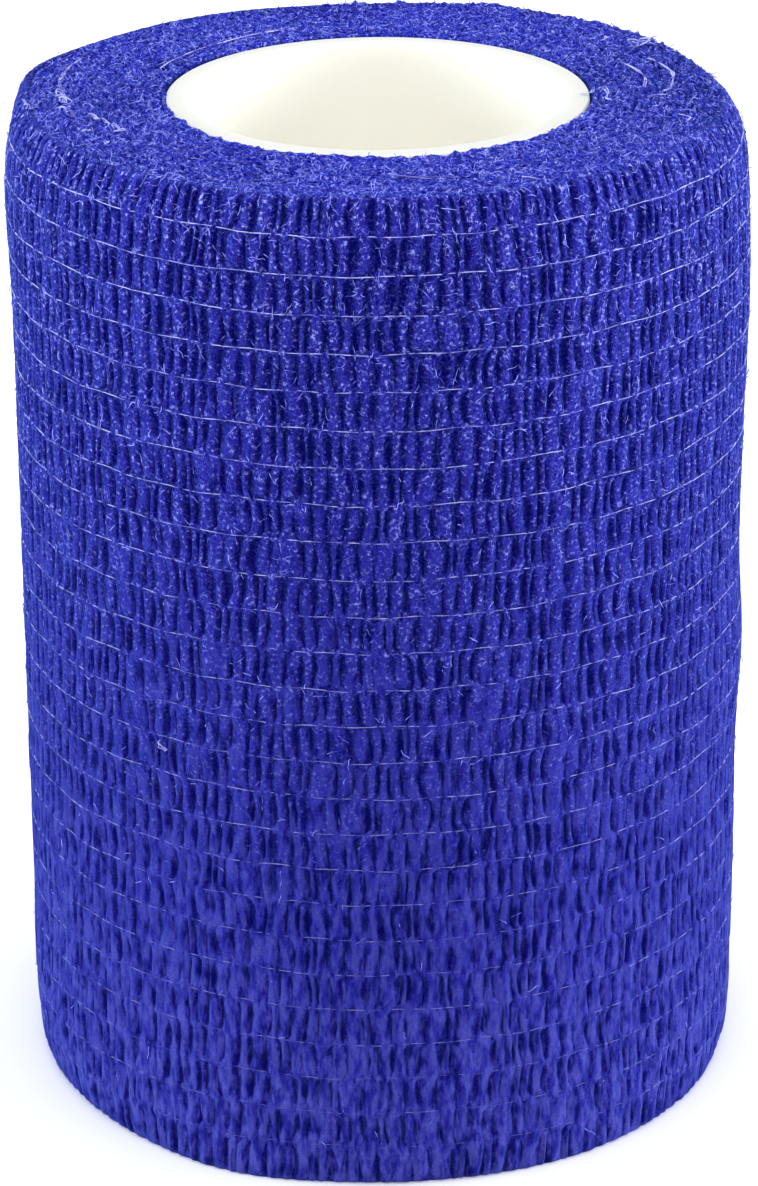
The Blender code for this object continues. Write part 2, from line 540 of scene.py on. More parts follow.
@dataclass(frozen=True)
class LooseFibre:
    """Single polyester fibres that stand free of the fleece: lighter, with a silky glint."""

    deep: str = "#2020ac"
    pale: str = "#a2aaff"
    change_mm: float = 0.7
    paleness: Ramp = Ramp(start=0.42, end=0.66)
    roughness: float = 0.5

    def material(self) -> Material:
        """Builds the fibres' material, which changes from fibre to fibre.

        Returns:
            The material.
        """
        material, add = new_material("polyester_fibre")
        place = add("ShaderNodeTexCoord").outputs["Object"]
        noise = add(NOISE, {"Vector": place, "Scale": 1 / (self.change_mm * MM), "Detail": 1.0})
        share = add(RANGE, self.paleness.feeds(noise))
        colour = add(MIX, {0: share, 6: linear(self.deep), 7: linear(self.pale)}, data_type="RGBA")
        feeds = {"Base Color": colour, "Roughness": self.roughness, "Specular IOR Level": 0.3}
        return dress(material, feeds)


@dataclass(frozen=True)
class ElasticYarn:
    """Bare elastane yarn, milky and slightly glossy, tinged blue where the cloth shows through."""

    pale: str = "#bcbef2"
    tinged: str = "#6668be"
    coated: str = "#434190"
    change_mm: float = 1.4
    paleness: Ramp = Ramp(start=0.35, end=0.6)
    bare: Ramp = Ramp(low=0.1, end=0.9)  # how far it shows through the coating, from foot to top
    roughness: float = 0.4

    def material(self) -> Material:
        """Builds the yarn's material.

        Returns:
            The material.
        """
        material, add = new_material("elastane_yarn")
        place = add("ShaderNodeTexCoord").outputs["Object"]
        noise = add(NOISE, {"Vector": place, "Scale": 1 / (self.change_mm * MM), "Detail": 1.0})
        share = add(RANGE, self.paleness.feeds(noise))
        level = add(SPLIT, {0: place}).outputs["Z"]
        clear = add(RANGE, self.bare.feeds(level, cad_box[1].z))
        yarn = add(MIX, {0: share, 6: linear(self.tinged), 7: linear(self.pale)}, data_type="RGBA")
        colour = add(MIX, {0: clear, 6: linear(self.coated), 7: yarn}, data_type="RGBA")
        return dress(material, {"Base Color": colour, "Roughness": self.roughness})


@dataclass(frozen=True)
class MouldedPolypropylene:
    """Extruded polypropylene tube, ivory white, satin, with faint drawing lines and a painted shade at its
    top.
    """

    body: str = "#fefcf3"
    shade: str = "#fefaef"
    bore_top_shade: str = "#fdfaf0"  # painted shade on the bore near its top, where the light from above is strongest
    bore_top_shade_depth: float = 11.0 * MM
    # Painted shade on the top end face.
    end_face_shade: str = "#cdcdc8"
    end_face_shade_depth: float = 0.3 * MM
    line_mm: float = 0.8
    line_stretch: float = 0.03  # the drawing lines are this much finer across than along
    roughness: float = 0.42

    def material(self) -> Material:
        """Builds the tube's material.

        Returns:
            The material.
        """
        material, add = new_material("extruded_polypropylene")
        place = add("ShaderNodeTexCoord").outputs["Object"]
        drawn = add("ShaderNodeMapping", {"Vector": place, "Scale": (1.0, 1.0, self.line_stretch)})
        lines = add(NOISE, {"Vector": drawn, "Scale": 1 / (self.line_mm * MM), "Detail": 3.0})
        colour = add(MIX, {0: lines, 6: linear(self.body), 7: linear(self.shade)}, data_type="RGBA")
        level = add(SPLIT, {0: place}).outputs["Z"]
        high = cad_box[1].z
        # Painted shade: the top of the bore and the top end face are toned darker, where the light from
        # above is strongest.
        for tone, depth in ((self.bore_top_shade, self.bore_top_shade_depth), (self.end_face_shade, self.end_face_shade_depth)):
            end = add(RANGE, Ramp(start=high - depth, end=high).feeds(level))
            colour = add(MIX, {0: end, 6: colour, 7: linear(tone)}, data_type="RGBA")
        bump = add("ShaderNodeBump", {"Strength": 0.3, "Distance": 0.02 * MM, "Height": lines})
        return dress(
            material,
            {
                "Base Color": colour,
                "Normal": bump,
                "Roughness": self.roughness,
                "IOR": 1.49,
                "Subsurface Weight": 0.35,
                "Subsurface Radius": (1.0, 0.9, 0.7),
                "Subsurface Scale": 2.5 * MM,
            },
        )


@dataclass(frozen=True)
class MattPaper:
    """Seamless white background paper: dead matt, with hardly any tooth."""

    face: str = "#fafafa"
    tooth_scale: float = 900.0  # bumps a metre

    def material(self) -> Material:
        """Builds the paper's material.

        Returns:
            The material.
        """
        material, add = new_material("background_paper")
        place = add("ShaderNodeTexCoord").outputs["Object"]
        tooth = add(NOISE, {"Vector": place, "Scale": self.tooth_scale})
        bump = add("ShaderNodeBump", {"Strength": 0.1, "Distance": 0.02 * MM, "Height": tooth})
        white = linear(self.face)
        feeds = {"Base Color": white, "Normal": bump, "Roughness": 1.0, "Specular IOR Level": 0.0}
        return dress(material, feeds)


# ---- Form ----


@dataclass(frozen=True)
class Bulge:
    """A soft place where the roll stands out from its plain form, or lies in from it."""

    angle: float  # degrees, 0 at +X
    height_mm: float
    spread: float  # degrees
    reach_mm: float
    out_mm: float


BULGES = (
    Bulge(163, 75, 13, 1.8, 1.0),
    Bulge(100, 75, 13, 1.8, -0.6),
    Bulge(68, 75, 11, 1.8, 0.45),
    Bulge(18, 75, 17, 1.8, -0.75),
    Bulge(-2, 61, 30, 11, 0.55),
    Bulge(-2, 33, 30, 6, 0.5),
    Bulge(-2, 46, 30, 20, 0.22),
    Bulge(-2, 16, 30, 9, 0.2),
    Bulge(180, 69, 28, 6, 0.22),
    Bulge(180, 12, 28, 14, -0.12),
    Bulge(180, 1, 26, 4, -0.35),
    Bulge(-152, 0, 18, 2.5, -0.35),
    Bulge(-114, 0, 13, 2.0, 0.65),
    Bulge(-60, 0, 13, 2.0, 0.2),
    Bulge(-10, 0, 20, 3.0, -0.3),
)


@dataclass(frozen=True)
class WoundForm:
    """The wound shape that every turn follows, from the cut end at the back inwards."""

    height: float = cad_box[1].z - cad_box[0].z
    crest_radius: float = 27.3 * MM  # outermost turn, at the cut end
    turn: float = 0.55 * MM  # one turn of the crinkled cloth
    core_radius: float = 15.4 * MM
    cut_end: float = math.radians(97)
    top_lean: float = 1.6 * MM  # the outermost turn's top edge leans in by this much
    top_reach: float = 1.8 * MM
    foot_lean: float = 0.45 * MM
    foot_reach: float = 0.75 * MM
    waist: float = 0.18 * MM
    lean_power: float = 3.0  # how quickly the lean dies out towards the core

    def lean(self, angle: np.ndarray, height: np.ndarray) -> np.ndarray:
        """Says how far the outermost turn leans in.

        Args:
            angle: directions from the axis, in radians.
            height: heights above the foot.

        Returns:
            The distance in from the straight wall, for each place.
        """
        total = self.top_lean * np.exp(-np.maximum(self.height - height, 0) / self.top_reach)
        total = total + self.foot_lean * np.exp(-np.maximum(height, 0) / self.foot_reach)
        total = total + self.waist * np.sin(np.pi * np.clip(height / self.height, 0, 1))
        for bulge in BULGES:
            around = (np.degrees(angle) - bulge.angle + 180) % 360 - 180
            up = height / MM - bulge.height_mm
            near = np.exp(-((around / bulge.spread) ** 2) - (up / bulge.reach_mm) ** 2)
            total = total - bulge.out_mm * MM * near
        return total

    def share(self, radius: np.ndarray) -> np.ndarray:
        """Says how much of the outermost turn's lean a turn takes, by its radius."""
        depth = (radius - self.core_radius) / (self.crest_radius - self.core_radius)
        return np.clip(depth, 0, 1) ** self.lean_power

    def wind(self, along: np.ndarray, height: np.ndarray, inset: np.ndarray) -> np.ndarray:
        """Winds places on the flat cloth onto the roll.

        Args:
            along: distances from the cut end.
            height: heights above the foot.
            inset: how far in from the crests of that turn.

        Returns:
            Rows of x, y and z.
        """
        radius = np.sqrt(self.crest_radius**2 - self.turn * along / np.pi)
        angle = self.cut_end + (self.crest_radius - radius) * 2 * np.pi / self.turn
        away = radius - self.lean(angle, height) * self.share(radius) - inset
        return np.stack([away * np.cos(angle), away * np.sin(angle), height], axis=-1)

    def settle(self, piece: Object) -> Object:
        """Leans a straight-wound piece in and out, as the roll does.

        Args:
            piece: a piece whose turns are true cylinders.

        Returns:
            The same piece, with its points moved.
        """
        points = np.empty(len(piece.data.vertices) * 3, np.float32)
        piece.data.vertices.foreach_get("co", points)
        x, y, z = points.reshape(-1, 3).T.astype(float)
        radius, angle = np.hypot(x, y), np.arctan2(y, x)
        away = radius - self.lean(angle, z) * self.share(radius)
        moved = np.stack([away * np.cos(angle), away * np.sin(angle), np.maximum(z, 0)], axis=-1)
        piece.data.vertices.foreach_set("co", moved.astype(np.float32).ravel())
        piece.data.update()
        return piece

    def length(self, turns: float) -> float:
        """Gives the length of cloth in the outermost turns."""
        return math.pi / self.turn * (self.crest_radius**2 - (self.crest_radius - self.turn * turns) ** 2)


@dataclass(frozen=True)
class SectionRow:
    """A row of points across the cloth: its height, how far in it lies, and its relief."""

    height: float
    inset: float = 0.0
    relief: float = 1.0


@dataclass(frozen=True)
class Crinkle:
    """The crinkle of the cloth: puffed ribs across it, pinched in at each elastic thread."""

    form: WoundForm
    thread_pitch: float = 2.78 * MM
    top_thread: float = 72.63 * MM
    threads: int = 26
    thread_wave: float = 0.12 * MM
    thread_wave_lengths: tuple[float, ...] = (34 * MM, 13 * MM, 5.5 * MM)
    rib_pitch: float = 1.08 * MM
    rib_spread: float = 0.1  # how much the ribs' widths differ, as a share
    least_rib: float = 0.55 * MM
    drift: float = 0.19 * MM  # of a valley, from one band between threads to the next
    shift: float = 0.42 * MM  # of a run of valleys together, from band to band
    shift_length: float = 12 * MM
    shift_waves: tuple[float, ...] = (0.7, 1.0, 1.7)  # lengths of its waves, as shares of that
    carried: float = 0.35  # share of a band's drift that the next band keeps
    settled: float = 4 * MM  # length of cloth at each end over which the bands keep in line
    tilt: float = 0.1 * MM
    lean: float = 0.2 * MM  # how far a run of valleys leans over from thread to thread
    lean_run: float = 1.4  # the length of such a run, as a share of shift_length
    bow: float = 0.12 * MM
    skew_spread: float = 0.3
    full_depth: float = 0.88  # of a usual valley, as a share of the deepest
    depth_spread: float = 0.15
    least_depth: float = 0.5
    shallow_share: float = 0.03  # of the valleys, which are much shallower
    shallow_depth: float = 0.4
    half_valley: float = 0.13 * MM
    half_valley_spread: float = 0.4
    top_half: float = 0.7  # of a valley's width above the top thread, of that below it
    widest_half: float = 0.32 * MM
    widest_share: float = 0.3  # most of a rib that one of its two valleys may take
    shut_share: float = 0.3  # of a valley's depth and width, that stays where it is shut
    shoulders: tuple[float, float] = (0.32, 0.68)  # where a rib's two crests lie on it
    side_depth: float = 0.68  # of a valley's side, as a share of its own depth
    crest_level: float = 0.02  # this and the next one as shares of the deepest valley
    crest_dip: float = 0.25
    depth: float = 0.45 * MM
    groove: float = 0.18 * MM  # most that a thread presses into a rib
    groove_reach: float = 0.25 * MM
    slow_swell: float = 0.1 * MM
    swell_waves: int = 14
    swell_length: float = 5 * MM
    swell_height: float = 14 * MM
    seed: int = 7

    def thread_height(self, number: int, along: np.ndarray) -> np.ndarray:
        """Gives a thread's height, which wavers a little.

        Args:
            number: the thread's number, 0 at the top.
            along: distances from the cut end.

        Returns:
            The height at each distance.
        """
        rng = np.random.default_rng(self.seed * 1000 + number)
        wave = np.zeros_like(along)
        for length in self.thread_wave_lengths:
            wave += np.sin(2 * np.pi * (along / length + rng.uniform())) * rng.uniform(0.3, 1.0)
        return self.top_thread - number * self.thread_pitch + self.thread_wave * wave / 2

    def band_share(self, height: float) -> tuple[int, float]:
        """Says which band between two threads a height is in, 0 above the top thread.

        Args:
            height: the height above the foot.

        Returns:
            The band's number, and the share of the way down it.
        """
        level = (self.top_thread - height) / self.thread_pitch
        if level < -1e-6:
            return 0, 1 - (height - self.top_thread) / (self.form.height - self.top_thread)
        band = min(int(level + 1e-6), self.threads - 1)
        if band < self.threads - 1:
            return band + 1, float(np.clip(level - band, 0, 1))
        lowest = self.top_thread - band * self.thread_pitch
        return band + 1, float(np.clip(1 - height / lowest, 0, 1))

    def opening(self, band: int, share: float, skew: np.ndarray) -> np.ndarray:
        """Says how far open the valleys are: shut at a thread, wide halfway to the next one.

        Args:
            band: the band's number.
            share: the share of the way down it.
            skew: for each valley, over 1 where it is widest low in the band.

        Returns:
            A share of the full opening for each valley.
        """
        if band == 0:
            return np.full_like(skew, math.sin(math.pi / 2 * min(1.0, (1 - share) * 1.6)) ** 0.7)
        if band == self.threads:
            return np.full_like(skew, math.sin(math.pi / 2 * min(1.0, share * 2.0)) ** 0.7)
        return np.sin(np.pi * share**skew) ** 0.6

    def part_ribs(self, centre: np.ndarray, length: float) -> np.ndarray:
        """Moves valleys apart until each rib between two of them has room.

        Args:
            centre: each valley's distance from the cut end, in order.
            length: the length of cloth.

        Returns:
            The new distances, the first and the last at the cloth's two ends.
        """
        for _ in range(8):
            lack = np.clip(self.least_rib - np.diff(centre), 0, None) / 2
            centre[:-1] -= lack
            centre[1:] += lack
        centre = np.clip(centre, 0, length)
        centre[0], centre[-1] = 0, length
        return centre

    def relief(self, length: float, rows: list[SectionRow]) -> tuple[np.ndarray, np.ndarray, np.ndarray]:
        """Lays five columns of points to each rib, so that every valley stays sharp.

        Args:
            length: the length of cloth.
            rows: the rows of points across the cloth.

        Returns:
            By row and column: the distance from the cut end, how far in each point lies, and its
            share of the deepest valley.
        """
        rng = np.random.default_rng(self.seed)
        ribs = round(length / self.rib_pitch)
        lines, bands = ribs + 1, self.threads + 1
        widths = np.exp(rng.normal(0, self.rib_spread, ribs))
        base = np.concatenate([[0.0], np.cumsum(widths)]) * length / widths.sum()
        own = rng.normal(0, self.drift, (bands, lines))
        for band in range(bands):
            for wave in self.shift_waves:
                turn = 2 * np.pi * (base / (self.shift_length * wave) + rng.uniform())
                own[band] += self.shift / 2 * np.sin(turn)
            if band > 0:
                own[band] += self.carried * own[band - 1]
        own *= np.clip(np.minimum(base, length - base) / self.settled, 0, 1)
        tilt = rng.normal(0, self.tilt, (bands, lines))
        starts = rng.uniform(size=(bands, 1))
        tilt += self.lean * np.sin(2 * np.pi * (base / (self.lean_run * self.shift_length) + starts))
        bow = rng.normal(0, self.bow, (bands, lines))
        skew = np.exp(rng.normal(0, self.skew_spread, (bands, lines)))
        deep = rng.normal(self.full_depth, self.depth_spread, (bands, lines))
        deep = np.clip(deep, self.least_depth, 1.0)
        deep[rng.uniform(size=deep.shape) < self.shallow_share] = self.shallow_depth
        half = self.half_valley * np.exp(rng.normal(0, self.half_valley_spread, (bands, lines)))
        half[0] *= self.top_half
        crest = rng.uniform(0, self.crest_dip, (bands, ribs, 2))
        pressed = rng.uniform(0, 1, (bands, ribs, 2))

        place = np.empty((len(rows), ribs * 5 + 1))
        inset, valley = np.empty_like(place), np.empty_like(place)
        for number, row in enumerate(rows):
            band, share = self.band_share(row.height)
            centre = base + own[band] + tilt[band] * (share - 0.5) + bow[band] * math.sin(math.pi * share)
            if share < 0.01 and band > 0:
                above = base + own[band - 1] + tilt[band - 1] * 0.5
                centre = (centre + above) / 2
            centre = self.part_ribs(centre, length)
            opened = self.shut_share + (1 - self.shut_share) * self.opening(band, share, skew[band])
            down = deep[band] * opened
            side = np.minimum(half[band], self.widest_half) * opened
            gap = np.diff(centre)
            widest = gap * self.widest_share
            left, right = np.minimum(side[:-1], widest), np.minimum(side[1:], widest)
            foot, rest = centre[:-1] + left, gap - left - right
            crests = [foot + shoulder * rest for shoulder in self.shoulders]
            near = math.exp(-((share * self.thread_pitch / self.groove_reach) ** 2)) if band > 0 else 0.0
            press = (self.groove / self.depth * near * pressed[band]).T
            dips = self.crest_level + crest[band].T * (1 - near) + press
            # The valley numbers set the painted shade in the cloth's colour: full at a valley's bottom,
            # half on its sides, and along a thread's groove.
            slopes, shades = self.side_depth * down, 0.5 * down
            for kept, five, last in (
                (place, (centre[:-1], foot, *crests, centre[1:] - right), length),
                (inset, (down[:-1], slopes[:-1], *dips, slopes[1:]), down[-1]),
                (valley, (down[:-1], shades[:-1], *press, shades[1:]), down[-1]),
            ):
                kept[number, :-1] = np.stack(five, axis=1).ravel()
                kept[number, -1] = last
            valley[number] *= row.relief
            inset[number] *= self.depth * row.relief
        return place, inset + self.swell(place, rows), valley

    def swell(self, along: np.ndarray, rows: list[SectionRow]) -> np.ndarray:
        """Works out the slow unevenness of the wall.

        Args:
            along: each point's distance from the cut end, by row and column.
            rows: the rows of points across the cloth.

        Returns:
            How far in each point lies, by row and column.
        """
        rng = np.random.default_rng(self.seed + 1)
        height = np.array([row.height for row in rows])[:, None]
        relief = np.array([row.relief for row in rows])[:, None]
        total = np.zeros_like(along)
        for _ in range(self.swell_waves):
            across = rng.uniform(-1, 1) / self.swell_height
            onward = rng.uniform(-1, 1) / self.swell_length
            total += np.sin(2 * np.pi * (height * across + along * onward + rng.uniform()))
        return self.slow_swell * (0.5 + total / self.swell_waves) * relief


# ---- Pieces ----


@dataclass
class OuterTurn:
    """The outermost turn of cloth, from its cut end once round and a little under itself."""

    form: WoundForm
    crinkle: Crinkle
    finish: Material
    thickness: float = 0.6 * MM
    tuck: float = 8.0 * MM
    tuck_depth: float = 0.06 * MM
    tuck_relief: float = 0.2  # of the crinkle where it is tucked under, as a share
    tuck_reach: float = 1.5 * MM
    edge_depth: float = 0.15 * MM  # how much deeper the inner face lies at the top
    jag: float = 0.25 * MM  # unevenness of the cut end
    jag_reach: float = 2.0 * MM
    jags: int = 60  # places along the cut end that are uneven on their own
    foot_fuzz: float = 0.03  # of the fuzz at the top
    rim_fuzz: float = 1.6  # added at the upper rim
    rim_reach: float = 0.9 * MM

    def length(self) -> float:
        """Gives the length of this turn of cloth."""
        return self.form.length(1.0) + self.tuck

    def section(self) -> tuple[list[SectionRow], list[SectionRow]]:
        """Lays out the rows of points across the cloth.

        Returns:
            The rows of the outer face from the foot up, and of the inner face from the top down.
        """
        high, pitch = self.form.height, self.crinkle.thread_pitch
        low_thread = self.crinkle.top_thread - (self.crinkle.threads - 1) * pitch
        edge = self.thickness / 2
        outer = [SectionRow(0.0, edge * 0.8, 0.2), SectionRow(0.12 * MM, edge * 0.3, 0.5)]
        outer += [SectionRow(share * low_thread) for share in (0.2, 0.5, 0.8)]
        for band in range(self.crinkle.threads - 1):
            foot = low_thread + band * pitch
            outer += [SectionRow(foot + share * pitch) for share in (0.0, 0.16, 0.5, 0.84)]
        rest = high - self.crinkle.top_thread
        outer += [SectionRow(high - share * rest) for share in (1.0, 0.8, 0.45)]
        outer += [SectionRow(high - 0.45 * MM, 0.0, 0.85), SectionRow(high - 0.12 * MM, edge * 0.3, 0.55)]
        outer += [SectionRow(high, edge * 0.85, 0.25)]
        inner = [
            SectionRow(high - depth, self.thickness, 0.0)
            for depth in (0.06 * MM, 2 * MM, 7 * MM, high - 3 * MM, high - 0.05 * MM)
        ]
        return outer, inner

    def build(self) -> Object:
        """Makes the turn as a closed sheet.

        Returns:
            The piece.
        """
        outer, inner = self.section()
        along, inset, valley = self.crinkle.relief(self.length(), outer)
        inset += np.array([row.inset for row in outer])[:, None]
        under = np.clip((along - self.form.length(1.0)) / self.tuck_reach + 1, 0, 1)
        inset = inset * (1 - under) + (inset * self.tuck_relief + self.tuck_depth) * under
        inner_inset = np.full((len(inner), along.shape[1]), self.thickness)
        inner_inset[0] += self.edge_depth
        height = np.array([row.height for row in outer + inner])[:, None] + np.zeros(along.shape[1])
        height[: len(outer)] += self.waver(along, outer)
        place = np.concatenate([along, np.repeat(along[len(outer) // 2][None, :], len(inner), axis=0)])
        inset = np.concatenate([inset, inner_inset])
        # Painted shade: the inner face shows only in the gap at the top edge, and below its top row it is
        # coloured as a deep valley.
        dark = np.where(np.arange(len(inner)) > 0, 1.0, 0.2)[:, None]
        valley = np.concatenate([valley, dark * np.ones_like(inner_inset)])
        rng = np.random.default_rng(self.crinkle.seed + 2)
        places = np.linspace(0, self.form.height, self.jags)
        ragged = np.interp(height, places, rng.uniform(-1, 1, self.jags))
        place = place + self.jag * ragged * np.exp(-place / self.jag_reach)
        points = self.form.wind(place, height, inset).transpose(1, 0, 2)

        faces = ring_faces(*points.shape[:2], closed=False)
        piece = new_piece("outer_turn", points.reshape(-1, 3), faces, self.finish)
        flat = np.stack([place / MM, height / MM, inset / MM], axis=-1)
        keep_numbers(piece.data, CLOTH_PLACE, flat.transpose(1, 0, 2).reshape(-1, 3))
        keep_numbers(piece.data, VALLEY, valley.T.ravel())
        rim = self.foot_fuzz + (1 - self.foot_fuzz) * (height / self.form.height) ** 3
        rim += self.rim_fuzz * np.exp(-(self.form.height - height) / self.rim_reach)
        combed = 0.6 - 0.6 * points[..., 1].T / self.form.crest_radius  # flat at the back
        fuzz = rim * np.clip(combed, 0.3, 1) * np.clip(1.2 - 1.6 * valley, 0, 1)
        fuzz[place >= self.form.length(1.0)] = 0.0
        fuzz[:4] = 0.0
        fuzz[len(outer) - 1 :] = 0.0
        keep_numbers(piece.data, FUZZ, fuzz.T.ravel())
        return piece

    def waver(self, along: np.ndarray, rows: list[SectionRow]) -> np.ndarray:
        """Lets the rows between the edges follow the threads as they waver.

        Args:
            along: each point's distance from the cut end, by row and column.
            rows: the rows of the outer face.

        Returns:
            How far up each point moves, by row and column.
        """
        last = self.crinkle.threads - 1
        moves = np.empty_like(along)
        for number, row in enumerate(rows):
            level = (self.crinkle.top_thread - row.height) / self.crinkle.thread_pitch
            level = min(max(level, 0.0), float(last))
            upper = int(level + 1e-6)
            share = level - upper
            straight = self.crinkle.top_thread - level * self.crinkle.thread_pitch
            high = self.crinkle.thread_height(upper, along[number])
            low = self.crinkle.thread_height(min(upper + 1, last), along[number])
            inside = min(1.0, min(row.height, self.form.height - row.height) / (2 * MM))
            moves[number] = (high * (1 - share) + low * share - straight) * inside
        return moves


@dataclass
class WoundTurns:
    """The turns below the outermost one, one long strip wound round the core."""

    form: WoundForm
    finish: Material
    thickness: float = 0.53 * MM
    clearance: float = -0.12 * MM  # the innermost turn swells over the core's rounded edge
    under: float = 0.06 * MM  # between the outermost turn and these
    step: float = 0.29 * MM
    edge_round: float = 0.22 * MM
    edge_shade: float = 0.65 * MM  # how far below the top the strip is in full painted shade
    ripple: float = 0.32 * MM  # whole swing from side to side, with its wave length
    ripple_wave: float = 1.3 * MM
    fray: float = 0.32 * MM  # every way
    fray_wave: float = 0.35 * MM
    felt: float = 0.9 * MM  # up and down
    felt_wave: float = 0.6 * MM
    dip: float = 0.44 * MM  # up and down
    dip_wave: float = 9.0 * MM
    bare: float = 0.5 * MM  # width round the core where no loose fibres stand
    combed: Ramp = Ramp(1.0, 0.4, -6 * MM, 22 * MM)  # how thickly they stand, from front to back

    def turns(self) -> float:
        """Counts the turns between the outermost one and the core."""
        inner = self.form.core_radius + self.clearance + self.thickness
        return (self.form.crest_radius - self.under - inner) / self.form.turn - 1

    def length(self) -> float:
        """Gives the length of cloth in these turns."""
        return self.form.length(self.turns() + 1) - self.form.length(1.0)

    def sizes(self) -> Sizes:
        """Lists the tree's inputs.

        Returns:
            Each input's name and value.
        """
        outer = self.form.crest_radius - self.form.turn - self.under - self.thickness / 2
        return {
            "turns": self.turns(),
            "outer_radius": outer,
            "inner_radius": outer - self.turns() * self.form.turn,
            "start_angle": self.form.cut_end,
            **named_sizes(self, "step ripple ripple_wave fray fray_wave felt felt_wave dip dip_wave"),
        }

    def tree(self) -> NodeTree:
        """Builds the tree that winds the strip.

        Returns:
            The tree.
        """
        add, given = new_shape_tree("wind_strip", self.sizes())
        ends = {"Start Radius": given["outer_radius"], "End Radius": given["inner_radius"], "Height": 0.0}
        path = add("GeometryNodeCurveSpiral", {"Resolution": 64, "Rotations": given["turns"], **ends})
        angle = add(JOIN, {"Z": given["start_angle"]})
        turned = add("GeometryNodeTransform", {"Geometry": path, "Rotation": angle})
        upright = add("GeometryNodeSetCurveNormal", {"Curve": turned}, mode="Z_UP")
        even = add("GeometryNodeResampleCurve", {"Curve": upright, "Length": given["step"]}, mode="LENGTH")
        section = add("GeometryNodeMeshToCurve", {"Mesh": given["Shape"]})
        strip = add("GeometryNodeCurveToMesh", {"Curve": even, "Profile Curve": section, "Fill Caps": True})
        for noise, directions in (
            ("ripple", (1.0, 1.0, 0.0)),
            ("fray", (1.0, 1.0, 1.0)),
            ("felt", (0.0, 0.0, 1.0)),
            ("dip", (0.0, 0.0, 1.0)),
        ):
            strip = push_by_noise(add, strip, given[noise], given[f"{noise}_wave"], directions)
        return close_shape_tree(add, self.add_places(add, strip), self.finish)

    def add_places(self, add: Adder, shape: Node) -> Node:
        """Stores each point's place in millimetres, its painted-shade depth between two edges, and its
        fuzz.

        Args:
            add: what adds a node to the tree.
            shape: the node that gives the shape.

        Returns:
            The node that gives the shape with its attributes.
        """
        where = add("GeometryNodeInputPosition")
        axes = add(SPLIT, {0: where}).outputs
        swapped = add(JOIN, {"X": axes["X"], "Y": axes["Z"], "Z": axes["Y"]})
        place = add(VECTOR, {0: swapped, "Scale": 1 / MM}, operation="SCALE")
        # Painted shade: a strip's colour darkens down its sides, between the turns.
        shade = Ramp(1.1, 0.0, self.form.height - self.edge_shade, self.form.height - 0.05 * MM)
        deep = add(RANGE, shade.feeds(axes["Z"]))
        facing = add(SPLIT, {0: add("GeometryNodeInputNormal")}).outputs["Z"]
        upward = add(MATH, {0: facing, 1: 0.4}, operation="GREATER_THAN")
        level = add(VECTOR, {0: where, 1: (1.0, 1.0, 0.0)}, operation="MULTIPLY")
        away = add(VECTOR, {0: level}, operation="LENGTH")
        outside = add(MATH, {0: away, 1: self.form.core_radius + self.bare}, operation="GREATER_THAN")
        seen = add(MATH, {0: upward, 1: outside}, operation="MULTIPLY")
        combed = add(RANGE, self.combed.feeds(axes["Y"]))
        shown = add(MATH, {0: seen, 1: combed}, operation="MULTIPLY")
        for name, value, kind, domain in (
            (CLOTH_PLACE, place, "FLOAT_VECTOR", "POINT"),
            (VALLEY, deep, "FLOAT", "POINT"),
            (FUZZ, shown, "FLOAT", "FACE"),
        ):
            feeds = {"Geometry": shape, "Name": name, "Value": value}
            shape = add("GeometryNodeStoreNamedAttribute", feeds, data_type=kind, domain=domain)
        return shape

    def section(self) -> Mesh:
        """Draws the strip's section, with a soft top edge.

        Returns:
            A closed loop of edges, the cloth's thickness along X and its width down Y.
        """
        half, high, soft = self.thickness / 2, self.form.height, self.edge_round
        points = [(-half, 0), (half, 0), (half, high - soft), (0.65 * half, high - 0.3 * soft)]
        points += [(0, high), (-0.65 * half, high - 0.3 * soft), (-half, high - soft)]
        mesh = bpy.data.meshes.new("wound_turns")
        edges = [(i, (i + 1) % len(points)) for i in range(len(points))]
        mesh.from_pydata([(-x, -y, 0) for x, y in points], edges, [])
        return mesh

    def build(self) -> Object:
        """Winds the strip and settles it into the roll's form."""
        return self.form.settle(run_shape_tree("wound_turns", self.tree(), self.sizes(), self.section()))


@dataclass
class ElasticThreads:
    """The elastic threads that run round in the cloth, bare where the crinkle leaves them open."""

    form: WoundForm
    crinkle: Crinkle
    finish: Material
    diameter: float = 0.115 * MM
    sides: int = 3
    step: float = 0.4 * MM
    inset: float = 0.1 * MM
    ripple: float = 0.02 * MM
    sink: float = 0.04 * MM  # how much deeper the lowest thread lies than the top one
    stray: float = 0.9 * MM  # how far an end may stand out past the cut end

    def build(self) -> Object:
        """Makes the threads.

        Returns:
            The piece.
        """
        rng = np.random.default_rng(self.crinkle.seed + 3)
        paths = []
        for number in range(self.crinkle.threads):
            along = np.arange(-rng.uniform(0, self.stray), self.form.length(1.0), self.step)
            height = self.crinkle.thread_height(number, along)
            waves = np.sin(2 * np.pi * along / self.crinkle.rib_pitch + rng.uniform(0, 6))
            inset = self.inset + self.sink * number / self.crinkle.threads + self.ripple * waves
            inset += self.crinkle.swell(along[None, :], [SectionRow(float(height.mean()))])[0]
            paths.append(self.form.wind(along, height, inset))
        return lay_strands("elastic_threads", paths, self.diameter, self.sides, self.finish)


class FibreLay(Enum):
    """How loose fibres lie on the cloth: the most that they tilt from it, in radians."""

    FLAT = 0.15
    RAISED = 0.5


